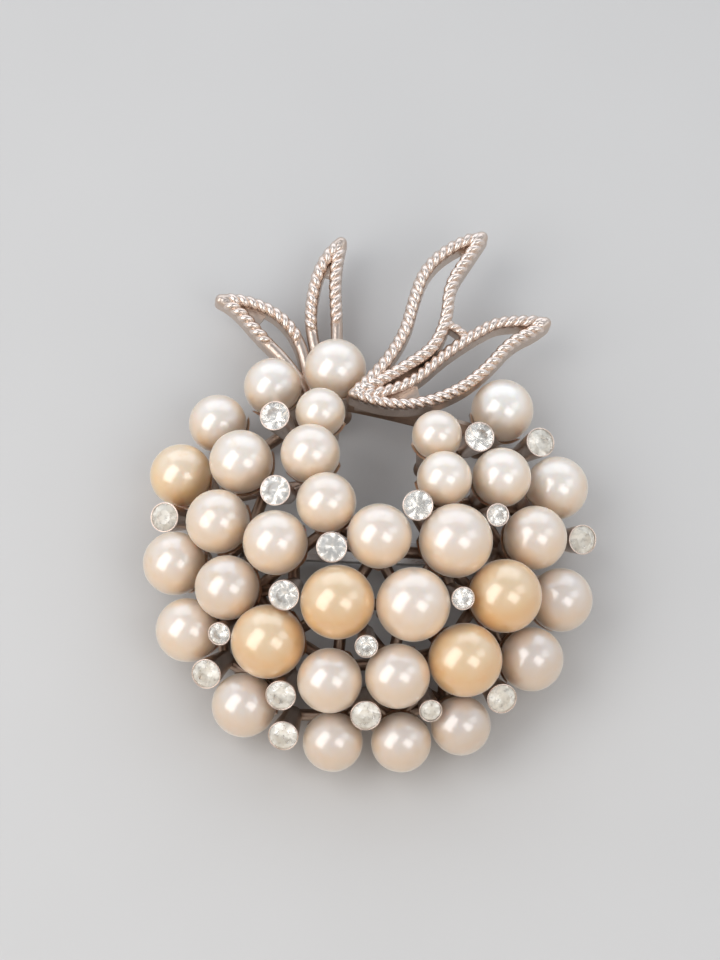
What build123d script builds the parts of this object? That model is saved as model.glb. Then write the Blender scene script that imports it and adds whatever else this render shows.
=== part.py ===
from build123d import *
import math
import os

# Open wreath brooch: a domed, openwork metal frame carries imitation pearls in tapered cups and
# round rhinestones in tube settings, with four open pointed leaves at the top and a bar pin behind.
# Millimetres. The brooch lies on its back: +Z out of its face, +Y towards the leaves.

# Dome of the wreath
DOME_RADIUS = 30.0      # sphere on which the pearl centres lie
RIM_RADIUS = 22.22      # from the middle of the wreath out to the outer row
RIM_SLOPE = math.degrees(math.asin(RIM_RADIUS / DOME_RADIUS))   # from the crown down to that row
FOOT_DEPTH = 5.6        # from the pearl centres down to the ribs that join the cups

# Pearls
GRAND = 8.0
LARGE = 7.0
MEDIUM = 6.5
SMALL = 6.0
TINY = 5.5
PEARL_GAP = 0.12        # least space between two pearls
SEAT_GAP = 0.08         # glue line between a pearl and its cup
PEG_DIAMETER = 0.9
PEG_CLEARANCE = 0.1     # round the peg and over its end
PEG_LENGTH = 2.0

# Rhinestones and their tube settings
STONE = 2.8
CHIP = 2.0              # the five smaller stones
STONE_GAP = 0.12        # loose fit of a stone in its tube
TUBE_WALL = 0.14
TUBE_LIFT = 1.6         # tube mouths stand this far above the pearl centres
TUBE_LENGTH = 7.0
TUBE_TAPER = 0.62       # foot width as a share of the mouth width
TUBE_LIP = 0.12         # the stone's girdle lies this far below the tube's mouth
FACE_TILT = 20.0        # degrees that all tubes lean towards the lower end of the wreath
FACE_SPREAD = 0.38      # extra outward lean of the outermost tubes, as a slope
STONE_SIDES = 12
CROWN_HEIGHT = 0.16     # shares of a stone's width
PAVILION_DEPTH = 0.42
TABLE_WIDTH = 0.56
GIRDLE = 0.05

# Cast metal
CUP_WALL = 0.22
CUP_BOWL = 55.0         # degrees below the pearl's equator where the bowl runs into its stem
CUP_FOOT = 1.7
CUP_POINTS = 5          # points round each cup's edge
POINT_DROP = 20.0       # degrees below the pearl's equator
SCALLOP_DROP = 42.0
RIB = 1.3
KNOT = 2.3              # ball where ribs meet under a cup
RIB_REACH = 1.28        # neighbours within this share of touching are joined by a rib
BAND_WIDTH = 0.9        # bare band above the open middle
BAND_DEPTH = 1.8
BAND_LEVEL = 26.2       # its distance from the centre of the dome
BAND_CLOCK = 8.0        # where it dips towards the open middle
BAND_SHARE = 0.82

# Leaves
LEAF_LENGTH = 25.5
RIM_WIDTH = 1.35
RIM_DEPTH = 2.2         # from the rounded top down the plain side
ROPE_LOBE = 1.08        # from one valley of the rope to the next
ROPE_LAY = 47.0         # degrees between the valleys and the rim
ROPE_GROOVE = 0.22      # radius of a valley
WEB_DROP = 0.5          # from the middle of the rims down to the recessed metal between them
WEB = 0.7
SLOT_TO = 0.42          # share of their run where the slot between the spray's leaves opens
SPRAY_CLOCK = 354.5     # where the two right leaves spring from
SPRAY_SHARE = 0.74
SPRAY_LEVEL = 29.4      # distance from the centre of the dome
SPRAY_DEPTH = 3.6       # solid metal between the rims at their root
BRIDGE_FROM = 0.53      # where a short bowed bar joins the spray's two leaves
BRIDGE_TO = 0.61
BRIDGE_BOW = 0.12       # share of its length
BRIDGE_WIDTH = 1.0
BRIDGE_DEPTH = 1.6

# Bar pin
BAR_WIDTH = 2.4
BAR_THICKNESS = 0.7
BAR_END = 0.9           # beyond a rivet
RIVET = 1.0
RIVET_CLEARANCE = 0.1
POST = 2.0
STEM = 0.8
STEM_CLEARANCE = 0.15   # round the stem in its catch
CATCH_WALL = 0.35       # under the stem in its catch
CATCH_WIDTH = 1.6
CATCH_INSET = 1.9       # from a rivet to the middle of the catch or the hinge
CLOTH_GAP = 1.2         # between the bar and the stem
BACK_CLEARANCE = 0.2    # between the pin and the surface that the brooch lies on
PIN_CUPS = (9, 29)      # pearls whose cups carry the bar

# Pearls from the crown of the dome outwards: clock angle in degrees from the leaf end, share of
# the rim's slope, and size.
PEARLS = [
    # name, clock, share, size
    (1, 331, 1.00, MEDIUM),
    (2, 350, 0.96, LARGE),
    (3, 339, 0.62, TINY),
    (4, 312, 1.03, MEDIUM),
    (5, 322, 0.42, MEDIUM),
    (6, 301, 0.69, LARGE),
    (7, 293, 1.03, LARGE),
    (8, 293, 0.20, MEDIUM),
    (9, 275, 0.70, LARGE),
    (10, 258, 0.42, LARGE),
    (11, 148, 0.09, LARGE),
    (12, 265, 0.95, LARGE),
    (13, 248, 0.70, LARGE),
    (14, 200, 0.39, GRAND),
    (15, 153, 0.42, GRAND),
    (16, 244, 0.98, LARGE),
    (17, 221, 0.69, GRAND),
    (18, 217, 1.01, LARGE),
    (19, 194, 0.73, LARGE),
    (20, 169, 0.70, LARGE),
    (21, 190, 1.01, MEDIUM),
    (22, 171, 1.01, MEDIUM),
    (23, 154, 1.01, MEDIUM),
    (24, 144, 0.75, GRAND),
    (25, 126, 0.98, LARGE),
    (26, 116, 0.69, GRAND),
    (27, 106, 0.98, LARGE),
    (28, 102, 0.39, GRAND),
    (29, 90, 0.78, LARGE),
    (30, 66, 0.67, MEDIUM),
    (31, 71, 0.99, LARGE),
    (32, 58, 0.38, SMALL),
    (33, 35, 0.54, TINY),
    (34, 42, 1.01, LARGE),
]

# Rhinestones, in the same way.
STONES = [
    # clock, share, size
    (322, 0.67, STONE),
    (288, 0.41, STONE),
    (226, 0.20, STONE),
    (226, 0.49, STONE),
    (278, 0.96, STONE),
    (235, 0.81, CHIP),
    (230, 0.98, STONE),
    (208, 0.84, STONE),
    (203, 1.01, STONE),
    (181, 0.55, CHIP),
    (181, 0.84, STONE),
    (161, 0.87, CHIP),
    (141, 0.97, STONE),
    (131, 0.52, CHIP),
    (78, 0.21, STONE),
    (86, 0.55, CHIP),
    (88, 1.01, STONE),
    (58, 0.95, STONE),
    (49, 0.64, STONE),
]

# Leaves: root, heading as a clock angle, rise in degrees, share of the leaf length, and the share of
# the rims' run where the web at the tip begins. Each rim has the share of its run where its rope
# begins, and its path as shares of the leaf's own length, along it and across it.
LEAVES = [
    # root, heading, rise, length, web, left rope, left rim, right rope, right rim
    ("spray", 35.5, -5.6, 0.985, 0.88,
     0, [(0, 0), (0.18, -0.02), (0.32, -0.012), (0.475, 0.03), (0.62, 0.084), (0.79, 0.096), (1, 0)],
     0, [(0, 0), (0.20, -0.088), (0.34, -0.134), (0.46, -0.139), (0.63, -0.071), (0.79, -0.018), (1, 0)]),
    ("spray", 64.8, -8.2, 0.945, 0.88,
     0, [(0, 0), (0.20, -0.048), (0.37, -0.016), (0.56, 0.044), (0.73, 0.076), (0.82, 0.070), (1, 0)],
     0, [(0, 0), (0.15, -0.12), (0.33, -0.168), (0.57, -0.136), (0.73, -0.068), (0.88, -0.026), (1, 0)]),
    ("rib", -38.0, 8.9, 0.70, 0.72,
     0.58, [(0, 0), (0.30, -0.080), (0.54, -0.074), (0.80, -0.050), (1, 0)],
     0.43, [(0, 0), (0.20, -0.108), (0.40, -0.202), (0.60, -0.242), (0.75, -0.210), (1, 0)]),
    ("rib", 7.4, 7.4, 0.84, 0.80,
     0.46, [(0, 0), (0.20, 0.014), (0.44, 0.074), (0.63, 0.110), (0.77, 0.104), (1, 0)],
     0.54, [(0, 0), (0.25, -0.05), (0.48, -0.045), (0.68, -0.013), (0.82, 0.005), (1, 0)]),
]

UP = Vector(0, 0, 1)
DOME_CENTRE = Vector(0, 0, -DOME_RADIUS)
SETTLE_ROUNDS = 120


def dome_direction(clock, slope):
    """Unit vector out of the dome at a clock angle and a slope from its crown, in degrees."""
    turn, lean = math.radians(clock), math.radians(slope)
    return Vector(math.sin(lean) * math.sin(turn), math.sin(lean) * math.cos(turn), math.cos(lean))


def on_dome(direction, radius):
    """Point at a distance from the dome's centre."""
    return DOME_CENTRE + direction * radius


class Pearl:
    """A pearl's place on the dome."""

    def __init__(self, name, clock, share, size):
        self.name = name
        self.radius = size / 2
        self.direction = dome_direction(clock, share * RIM_SLOPE)
        self.level = DOME_RADIUS

    @property
    def centre(self):
        return on_dome(self.direction, self.level)

    @property
    def foot(self):
        return on_dome(self.direction, DOME_RADIUS - FOOT_DEPTH)

    def balls(self):
        """Balls that the piece keeps free of its neighbours."""
        return [(self.centre, self.radius)]


class Tube:
    """A tube setting's place on the dome; it leans with the face of the brooch."""

    def __init__(self, clock, share, size):
        self.stone = size
        self.mouth = size / 2 + STONE_GAP + TUBE_WALL
        self.direction = dome_direction(clock, share * RIM_SLOPE)
        self.level = DOME_RADIUS + TUBE_LIFT

    @property
    def centre(self):
        return on_dome(self.direction, self.level)

    @property
    def axis(self):
        face = dome_direction(180, FACE_TILT)
        outward = Vector(self.direction.X, self.direction.Y, 0) / math.sin(math.radians(RIM_SLOPE))
        return (face + outward * FACE_SPREAD).normalized()

    @property
    def foot(self):
        return self.centre - self.axis * TUBE_LENGTH

    def balls(self):
        """Balls down the tube that it keeps free of its neighbours."""
        steps = 5
        found = []
        for step in range(steps + 1):
            share = step / steps
            width = self.mouth * (1 - share * (1 - TUBE_TAPER))
            found.append((self.centre - self.axis * (TUBE_LENGTH * share), width))
        return found


def settle(pieces):
    """Push neighbours apart along the dome until each pair keeps its gap."""
    for _ in range(SETTLE_ROUNDS):
        moved = False
        for index, one in enumerate(pieces):
            for other in pieces[index + 1:]:
                if (one.centre - other.centre).length > GRAND + LARGE:
                    continue
                worst, push = 0.0, None
                for here, reach in one.balls():
                    for there, span in other.balls():
                        between = there - here
                        short = reach + span + PEARL_GAP - between.length
                        if short > worst:
                            worst, push = short, between.normalized() * (short * 0.55)
                if push is not None and worst > PEARL_GAP / 20:
                    one.direction = (one.centre - push - DOME_CENTRE).normalized()
                    other.direction = (other.centre + push - DOME_CENTRE).normalized()
                    moved = True
        if not moved:
            return


pearls = {row[0]: Pearl(*row) for row in PEARLS}
tubes = [Tube(*row) for row in STONES]
settle(list(pearls.values()) + tubes)


def standing(shape, point, axis):
    """Carry a shape made round the origin to a point, with its Z along an axis."""
    return Plane(origin=point, z_dir=axis).location * shape


# Cup with its peg, made with the pearl's centre at the origin
def cup_shape(pearl_radius):
    seat = pearl_radius + SEAT_GAP
    rim = seat + CUP_WALL
    drop = math.radians(POINT_DROP)
    low = math.radians(SCALLOP_DROP)
    bowl = math.radians(CUP_BOWL)
    with BuildPart() as cup:
        with BuildSketch(Plane.XZ):
            with BuildLine():
                inner_rim = (seat * math.cos(drop), -seat * math.sin(drop))
                outer_rim = (rim * math.cos(drop), -rim * math.sin(drop))
                waist = (seat * math.sin(math.radians(45)), -seat * math.cos(math.radians(45)))
                bowl_end = (rim * math.cos(bowl), -rim * math.sin(bowl))
                bowl_side = (rim * math.cos((bowl + drop) / 2), -rim * math.sin((bowl + drop) / 2))
                peg_angle = math.asin(PEG_DIAMETER / 2 / seat)
                peg_root = (PEG_DIAMETER / 2, -seat * math.cos(peg_angle))
                peg_top = PEG_LENGTH - pearl_radius
                ThreePointArc(inner_rim, waist, peg_root)
                Polyline(peg_root, (PEG_DIAMETER / 2, peg_top), (0, peg_top), (0, -FOOT_DEPTH),
                         (CUP_FOOT / 2, -FOOT_DEPTH), bowl_end)
                ThreePointArc(bowl_end, bowl_side, outer_rim)
                Line(outer_rim, inner_rim)
            make_face()
        revolve(axis=Axis.Z)
        # Scallops between the points of the edge
        depth = rim * (math.sin(low) - math.sin(drop))
        half = rim * math.pi / CUP_POINTS * 0.93
        scoop = (half ** 2 + depth ** 2) / (2 * depth)
        for number in range(CUP_POINTS):
            with Locations(Rot(0, 0, 360 / CUP_POINTS * number)):
                with Locations(Location((rim / 2 + rim / 4, 0, scoop - rim * math.sin(low)), (0, 90, 0))):
                    Cylinder(scoop, rim, mode=Mode.SUBTRACT)
    return cup.part


# Tube setting, made with its mouth at the origin
def tube_shape(tube):
    bore = tube.stone / 2 + STONE_GAP
    depth = TUBE_LIP + tube.stone * (GIRDLE + PAVILION_DEPTH) + STONE_GAP
    foot = tube.mouth * TUBE_TAPER
    with BuildPart() as setting:
        with BuildSketch(Plane.XZ):
            Polygon((0, -depth), (bore * 0.55, -depth), (bore, -depth * 0.45), (bore, 0), (tube.mouth, 0),
                    (foot, -TUBE_LENGTH), (0, -TUBE_LENGTH), align=None)
        revolve(axis=Axis.Z)
    return setting.part


def rib(start, end, width):
    """Round rib between two points."""
    along = end - start
    bar = Cylinder(width / 2, along.length, align=(Align.CENTER, Align.CENTER, Align.MIN))
    return standing(bar, start, along)


def joined_pairs():
    """Pairs of feet that a rib joins: near neighbours, except across the open middle and top."""
    places = list(pearls.values())
    pairs = []
    for index, one in enumerate(places):
        for other in places[index + 1:]:
            if (one.centre - other.centre).length < RIB_REACH * (one.radius + other.radius):
                pairs.append((one.foot, other.foot))
    for tube in tubes:
        nearest = sorted(places, key=lambda pearl: (pearl.foot - tube.foot).length)
        for pearl in nearest[:2]:
            pairs.append((tube.foot, pearl.foot))
    return pairs


# Bare band from the cup of one upper pearl to another
def band_shape():
    start = on_dome(pearls[2].direction, BAND_LEVEL)
    middle = on_dome(dome_direction(BAND_CLOCK, BAND_SHARE * RIM_SLOPE), BAND_LEVEL)
    end = on_dome(pearls[34].direction, BAND_LEVEL)
    path = ThreePointArc(start, middle, end)
    outward = (middle - DOME_CENTRE).normalized()
    section = Plane(origin=start, x_dir=outward.cross(path % 0), z_dir=path % 0)
    return sweep(section * Rectangle(BAND_WIDTH, BAND_DEPTH), path=path)


class Leaf:
    """An open leaf: two rims with roped tops and plain sides that meet at the tip."""

    def __init__(self, root, heading, rise, share, web, left_rope, left, right_rope, right):
        self.length = LEAF_LENGTH * share
        turn, lift = math.radians(heading), math.radians(rise)
        along = Vector(math.cos(lift) * math.sin(turn), math.cos(lift) * math.cos(turn), math.sin(lift))
        normal = (UP - along * along.dot(UP)).normalized()
        self.plane = Plane(origin=root, x_dir=along, z_dir=normal)
        self.paths = [self.path(left), self.path(right)]
        self.ropes = [left_rope, right_rope]
        self.web_from = web

    def path(self, shares):
        """Chain of arcs, each tangent to the last, through the rim's points."""
        points = [Vector(along * self.length, across * self.length, 0) for along, across in shares]
        arcs = [ThreePointArc(*points[:3])]
        for before, point in zip(points[2:], points[3:]):
            arcs.append(TangentArc(before, point, tangent=arcs[-1] % 1))
        return Wire(arcs)

    def on_rim(self, rim, share):
        """Point in space on a rim, at a share of its run."""
        return self.plane.from_local_coords(self.paths[rim] @ share)

    def web(self):
        """Recessed metal in the corner between the rims at the tip."""
        halfway = (1 + self.web_from) / 2
        left, right = self.paths
        corners = [left @ self.web_from, left @ halfway, left @ 1, right @ halfway, right @ self.web_from]
        outline = Polygon(*[(corner.X, corner.Y) for corner in corners], align=None)
        return Pos(0, 0, -WEB_DROP - WEB) * extrude(outline, WEB, dir=UP)

    def valleys(self):
        """Bars that cut the valleys of a rope across the tops of the rims."""
        bars = []
        for path, rope_from, lay in zip(self.paths, self.ropes, (ROPE_LAY, -ROPE_LAY)):
            for number in range(1, int(path.length / ROPE_LOBE)):
                share = number * ROPE_LOBE / path.length
                if share < rope_from:
                    continue
                place, along = path @ share, path % share
                turn = math.degrees(math.atan2(along.Y, along.X)) + lay
                bar = Rot(0, 0, turn) * Rot(0, 90, 0) * Cylinder(ROPE_GROOVE, 1.6 * RIM_WIDTH)
                bars.append(Pos(place.X, place.Y, RIM_WIDTH / 2 + ROPE_GROOVE / 4) * bar)
        return bars

    def solid(self):
        half = RIM_WIDTH / 2
        side = RIM_DEPTH - half
        face = Circle(half) + Pos(0, -side / 2) * Rectangle(RIM_WIDTH, side)
        rims = []
        for path in self.paths:
            start = path % 0
            section = Plane(origin=path @ 0, x_dir=Vector(-start.Y, start.X, 0), z_dir=start)
            rims.append(sweep(section * face, path=path))
        column = Pos(0, 0, -side) * Cylinder(half, side, align=(Align.CENTER, Align.CENTER, Align.MIN))
        end = Sphere(half) + column
        ends = [Pos(*place) * end for place in (self.paths[0] @ 0, self.paths[0] @ 1)]
        whole = rims[0].fuse(rims[1], *ends, self.web())
        return self.plane.location * whole.cut(*self.valleys())


def leaf_roots():
    """Where the leaves spring from: the spray's root and the rib between two upper cups."""
    return {
        "spray": on_dome(dome_direction(SPRAY_CLOCK, SPRAY_SHARE * RIM_SLOPE), SPRAY_LEVEL),
        "rib": (pearls[1].foot + pearls[2].foot) * 0.5,
    }


def bridge(one, other):
    """Short bowed bar with plain sides between the facing rims of the two spray leaves."""
    start, end = one.on_rim(1, BRIDGE_FROM), other.on_rim(0, BRIDGE_TO)
    bow = (one.plane.x_dir + other.plane.x_dir).normalized() * ((end - start).length * BRIDGE_BOW)
    path = ThreePointArc(start, (start + end) * 0.5 + bow, end)
    side = BRIDGE_DEPTH - BRIDGE_WIDTH / 2
    face = Circle(BRIDGE_WIDTH / 2) + Pos(0, -side / 2) * Rectangle(BRIDGE_WIDTH, side)
    section = Plane(origin=start, x_dir=UP.cross(path % 0), z_dir=path % 0)
    return sweep(section * face, path=path)


def plate(corners, thickness):
    """Flat metal between rims, recessed below the lowest of its corners."""
    top = min(corner.Z for corner in corners) - WEB_DROP
    outline = Polygon(*[(corner.X, corner.Y) for corner in corners], align=None)
    return Pos(0, 0, top) * extrude(outline, thickness, dir=-UP)


def spray_root(one, other):
    """Solid metal that carries the four rims of the spray down to the bare band."""
    corners = [one.on_rim(0, 0), one.on_rim(0, 0.2), one.on_rim(1, 0.26), other.on_rim(0, 0.3),
               other.on_rim(1, 0.3), other.on_rim(1, 0.15)]
    return plate(corners, SPRAY_DEPTH - WEB_DROP)


def spray_slot(one, other):
    """Thin metal that closes the slot between the spray's two leaves up to near the bridge."""
    corners = [one.on_rim(1, 0.2), one.on_rim(1, SLOT_TO), other.on_rim(0, SLOT_TO), other.on_rim(0, 0.2)]
    return plate(corners, WEB)


# Metal frame: ribs, cups and tube settings
knots = [Pos(*pearl.foot) * Sphere(KNOT / 2) for pearl in pearls.values()]
ribs = [rib(start, end, RIB) for start, end in joined_pairs()]
web = knots[0].fuse(*knots[1:], *ribs)
cup_models = {size / 2: cup_shape(size / 2) for size in (GRAND, LARGE, MEDIUM, SMALL, TINY)}
cups = [standing(cup_models[pearl.radius], pearl.centre, pearl.direction) for pearl in pearls.values()]
settings = [standing(tube_shape(tube), tube.centre, tube.axis) for tube in tubes]

# Leaves and band, trimmed clear of the pearls beside them
roots = leaf_roots()
leaves = [Leaf(roots[row[0]], *row[1:]) for row in LEAVES]
spray = leaves[:2]
crest = band_shape().fuse(
    *[leaf.solid() for leaf in leaves], spray_root(*spray), spray_slot(*spray), bridge(*spray))
upper = [pearls[number] for number in (1, 2, 3, 33, 34)]
crest = crest.cut(*[Pos(*pearl.centre) * Sphere(pearl.radius + SEAT_GAP) for pearl in upper])

# Posts that hang from two cups and carry the bar pin, which lies inside the dome
low = min(piece.bounding_box().min.Z for piece in [web, crest] + cups + settings)
stem_level = low + BACK_CLEARANCE + CATCH_WALL + STEM_CLEARANCE + STEM / 2
bar_under = stem_level + STEM / 2 + CLOTH_GAP
bar_top = bar_under + BAR_THICKNESS
carriers = [pearls[number].foot for number in PIN_CUPS]
posts = []
for carrier in carriers:
    shoulder = bar_top + RIVET_CLEARANCE
    posts.append(Pos(carrier.X, carrier.Y, shoulder) * Cylinder(
        POST / 2, carrier.Z - shoulder, align=(Align.CENTER, Align.CENTER, Align.MIN)))
    posts.append(Pos(carrier.X, carrier.Y, bar_under) * Cylinder(
        RIVET / 2, carrier.Z - bar_under, align=(Align.CENTER, Align.CENTER, Align.MIN)))

frame = web.fuse(*cups, *settings, crest, *posts)


def pearl_shape(pearl):
    """Ball with a blind hole for its peg."""
    hole = PEG_DIAMETER / 2 + PEG_CLEARANCE
    deep = PEG_LENGTH + PEG_CLEARANCE
    drill = Pos(0, 0, deep - pearl.radius) * Cylinder(
        hole, pearl.radius, align=(Align.CENTER, Align.CENTER, Align.MAX))
    return standing(Sphere(pearl.radius) - drill, pearl.centre, pearl.direction)


def stone_shape(width):
    """Round brilliant with its girdle's upper edge at the origin."""
    levels = [
        # height, width, as shares of the stone's width
        (-GIRDLE - PAVILION_DEPTH, 0.06),
        (-GIRDLE, 1.0),
        (0, 1.0),
        (CROWN_HEIGHT, TABLE_WIDTH),
    ]
    rings = [Pos(0, 0, height * width) * RegularPolygon(width * share / 2, STONE_SIDES)
             for height, share in levels]
    return loft([ring.face() for ring in rings], ruled=True)


def bar_pin_shape():
    """Plain bar with a pin stem below it, fixed in a hinge block and resting in an open catch."""
    start, end = [Vector(carrier.X, carrier.Y, stem_level) for carrier in carriers]
    span = (end - start).length
    under = bar_under - stem_level
    bar = Pos(span / 2, 0, under) * Box(
        span + 2 * BAR_END, BAR_WIDTH, BAR_THICKNESS, align=(Align.CENTER, Align.CENTER, Align.MIN))
    base = STEM / 2 + STEM_CLEARANCE + CATCH_WALL
    hinge, catch = [Pos(place, 0, -base) * Box(
        CATCH_WIDTH, BAR_WIDTH, base + under + BAR_THICKNESS / 2,
        align=(Align.CENTER, Align.CENTER, Align.MIN)) for place in (CATCH_INSET, span - CATCH_INSET)]
    room = STEM + 2 * STEM_CLEARANCE
    groove = Pos(span - CATCH_INSET, 0, 0) * Rot(0, 90, 0) * Cylinder(room / 2, 2 * CATCH_WIDTH)
    mouth = Pos(span - CATCH_INSET, -BAR_WIDTH / 2, 0) * Box(2 * CATCH_WIDTH, BAR_WIDTH, room)
    body = bar.fuse(hinge, catch.cut(groove, mouth))
    body = body.cut(*[Pos(place, 0, under) * Cylinder(RIVET / 2 + RIVET_CLEARANCE, 3 * BAR_THICKNESS)
                      for place in (0, span)])
    stem = Pos(CATCH_INSET, 0, 0) * Rot(0, 90, 0) * Cylinder(
        STEM / 2, span - 2 * CATCH_INSET + CATCH_WIDTH, align=(Align.CENTER, Align.CENTER, Align.MIN))
    place = Plane(origin=start, x_dir=end - start, z_dir=UP).location
    return place * body.fuse(stem)


pieces = {"frame": frame}
for pearl in pearls.values():
    pieces[f"pearl_{pearl.name:02d}"] = pearl_shape(pearl)
pieces["rhinestones"] = Compound(children=[
    standing(stone_shape(tube.stone), tube.centre - tube.axis * TUBE_LIP, tube.axis) for tube in tubes])
pieces["bar_pin"] = bar_pin_shape()

# The brooch's origin is the middle of its underside
box = Compound(children=[piece.moved(Location()) for piece in pieces.values()]).bounding_box()
shift = Pos(-box.center().X, -box.center().Y, -box.min.Z)
os.makedirs("parts", exist_ok=True)
for name, piece in pieces.items():
    export_step(shift * piece, f"parts/{name}.step")
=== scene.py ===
"""Looks of an openwork wreath brooch with four rope-edged leaves.

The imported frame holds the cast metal, the bar pin and the place of every pearl and stone. This
file gives them their nacre, glass and silvering, lays the twisted ropes on the rims of the leaves
and sets thin lips on the mouths of the tube settings.
"""

import logging
import math
import random
from dataclasses import dataclass, field
from enum import Enum

import bmesh
import bpy
from mathutils import Matrix, Vector


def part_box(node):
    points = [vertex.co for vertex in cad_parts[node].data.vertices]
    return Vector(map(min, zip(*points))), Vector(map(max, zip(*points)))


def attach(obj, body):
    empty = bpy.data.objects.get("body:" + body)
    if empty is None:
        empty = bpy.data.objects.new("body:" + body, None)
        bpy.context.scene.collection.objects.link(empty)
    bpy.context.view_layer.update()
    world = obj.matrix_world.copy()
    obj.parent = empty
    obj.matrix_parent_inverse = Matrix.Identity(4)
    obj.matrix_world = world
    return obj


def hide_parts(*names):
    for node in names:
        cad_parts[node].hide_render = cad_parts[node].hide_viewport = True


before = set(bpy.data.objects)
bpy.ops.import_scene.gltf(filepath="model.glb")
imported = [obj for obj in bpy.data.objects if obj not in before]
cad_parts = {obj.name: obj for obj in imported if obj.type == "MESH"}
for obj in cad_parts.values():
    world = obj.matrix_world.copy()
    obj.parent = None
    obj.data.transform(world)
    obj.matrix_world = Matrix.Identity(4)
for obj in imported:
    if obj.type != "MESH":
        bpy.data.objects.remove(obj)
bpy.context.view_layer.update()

log = logging.getLogger("brooch")

MM = 0.001
BODY = "root"
NOISE_MIDDLE = 0.5
Colour = tuple[float, float, float]
Span = tuple[float, float]

# The middle of the wreath's dome in the row's frame, and how far out its outer row lies
DOME_CENTRE = Vector((-0.16, -6.548, -14.249)) * MM
OUTER_ROW = 22.22 * MM

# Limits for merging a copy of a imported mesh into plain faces
WELD = 0.001 * MM
FLAT = math.radians(1.0)


class Slot(Enum):
    """Material slot names, which here only key the pearls' finishes."""

    METAL = "silvered_metal"
    CREAM = "pearl_cream"
    GOLDEN = "pearl_golden"
    MOTTLED = "pearl_mottled"
    STONE = "rhinestone"


class Value:
    """A socket whose sums and products add Math nodes to its graph."""

    def __init__(self, graph: "Graph", socket: bpy.types.NodeSocket) -> None:
        """Keep the socket and the graph that it belongs to."""
        self.graph = graph
        self.socket = socket

    def _with(self, operation: str, *values: "Value | float") -> "Value":
        """Add a Math node for an operation on these values."""
        return self.graph.node("ShaderNodeMath", {"operation": operation}, dict(enumerate(values)))

    def __add__(self, other: "Value | float") -> "Value":
        """Return self + other."""
        return self._with("ADD", self, other)

    def __radd__(self, other: float) -> "Value":
        """Return other + self."""
        return self._with("ADD", other, self)

    def __sub__(self, other: "Value | float") -> "Value":
        """Return self - other."""
        return self._with("SUBTRACT", self, other)

    def __rsub__(self, other: float) -> "Value":
        """Return other - self."""
        return self._with("SUBTRACT", other, self)

    def __mul__(self, other: "Value | float") -> "Value":
        """Return self * other."""
        return self._with("MULTIPLY", self, other)

    def __rmul__(self, other: float) -> "Value":
        """Return other * self."""
        return self._with("MULTIPLY", other, self)

    def swing(self, amount: float) -> "Value":
        """Noise brought to lie round zero, times an amount."""
        return (self - NOISE_MIDDLE) * amount

    def blended(self, other: "Value", share: float) -> "Value":
        """This pattern with a share of another."""
        return self * (1 - share) + other * share


class Graph:
    """The node tree of a material or of the world, built from expressions."""

    def __init__(self, owner: bpy.types.Material | bpy.types.World) -> None:
        """Empty the owner's node tree and start on it.

        Args:
            owner: The material or the world.
        """
        self.owner = owner
        self.owner.use_nodes = True
        self.tree = self.owner.node_tree
        self.tree.nodes.clear()

    def node(self, kind: str, settings: dict | None = None, inputs: dict | None = None,
             output: int | str = 0) -> Value:
        """Add a node.

        Args:
            kind: The node's type.
            settings: Its settings, set first.
            inputs: Values or links by socket name or number.
            output: The output that is returned.

        Returns:
            The node's output as a value, or its first input where it has no outputs.
        """
        made = self.tree.nodes.new(kind)
        for name, setting in (settings or {}).items():
            setattr(made, name, setting)
        for name, given in (inputs or {}).items():
            if isinstance(given, Value):
                self.tree.links.new(given.socket, made.inputs[name])
            else:
                made.inputs[name].default_value = given
        return Value(self, (made.outputs or made.inputs)[output])

    def mix(self, first: "Value | Colour", second: "Value | Colour",
            share: "Value | float") -> Value:
        """Mix two colours.

        Args:
            first: The colour at share 0.
            second: The colour at share 1.
            share: How much of the second.

        Returns:
            The mixed colour.
        """
        colours = [given if isinstance(given, Value) else (*given, 1) for given in (first, second)]
        # Inputs 6 and 7 and output 2 are the node's colour sockets
        return self.node("ShaderNodeMix", {"data_type": "RGBA", "blend_type": "MIX"},
                         {0: share, 6: colours[0], 7: colours[1]}, 2)

    def ramp(self, value: Value, low: float, high: float) -> Value:
        """Smooth step of a value from 0 at low to 1 at high."""
        return self.node("ShaderNodeMapRange", {"interpolation_type": "SMOOTHSTEP"},
                         {0: value, 1: low, 2: high, 3: 0.0, 4: 1.0})

    def place(self) -> Value:
        """Object coordinates."""
        return self.node("ShaderNodeTexCoord", output="Object")

    def part(self, vector: Value, axis: str) -> Value:
        """One part of a vector."""
        return self.node("ShaderNodeSeparateXYZ", {}, {0: vector}, axis)

    def attribute(self, name: str, output: str = "Fac") -> Value:
        """One output of a mesh attribute."""
        return self.node("ShaderNodeAttribute", {"attribute_name": name}, output=output)

    def noise(self, size: float, detail: float = 2.0, roughness: float = 0.5) -> Value:
        """Noise whose features have a size in metres."""
        return self.node("ShaderNodeTexNoise", {}, {
            "Vector": self.place(), "Scale": 1 / size, "Detail": detail, "Roughness": roughness})

    def bump(self, height: Value, depth: float, strength: float) -> Value:
        """Bumped normal.

        Args:
            height: The height pattern, from 0 to 1.
            depth: The pattern's depth in metres.
            strength: The bump's strength.

        Returns:
            The normal.
        """
        return self.node("ShaderNodeBump", {},
                         {"Height": height, "Distance": depth, "Strength": strength})

    def surface(self, inputs: dict) -> Value:
        """Add a Principled shader."""
        return self.node("ShaderNodeBsdfPrincipled", {}, inputs)

    def finish(self, shader: Value,
               kind: str = "ShaderNodeOutputMaterial") -> bpy.types.Material | bpy.types.World:
        """Join a shader to the output node and return the owner."""
        self.node(kind, {}, {"Surface": shader})
        return self.owner


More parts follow.
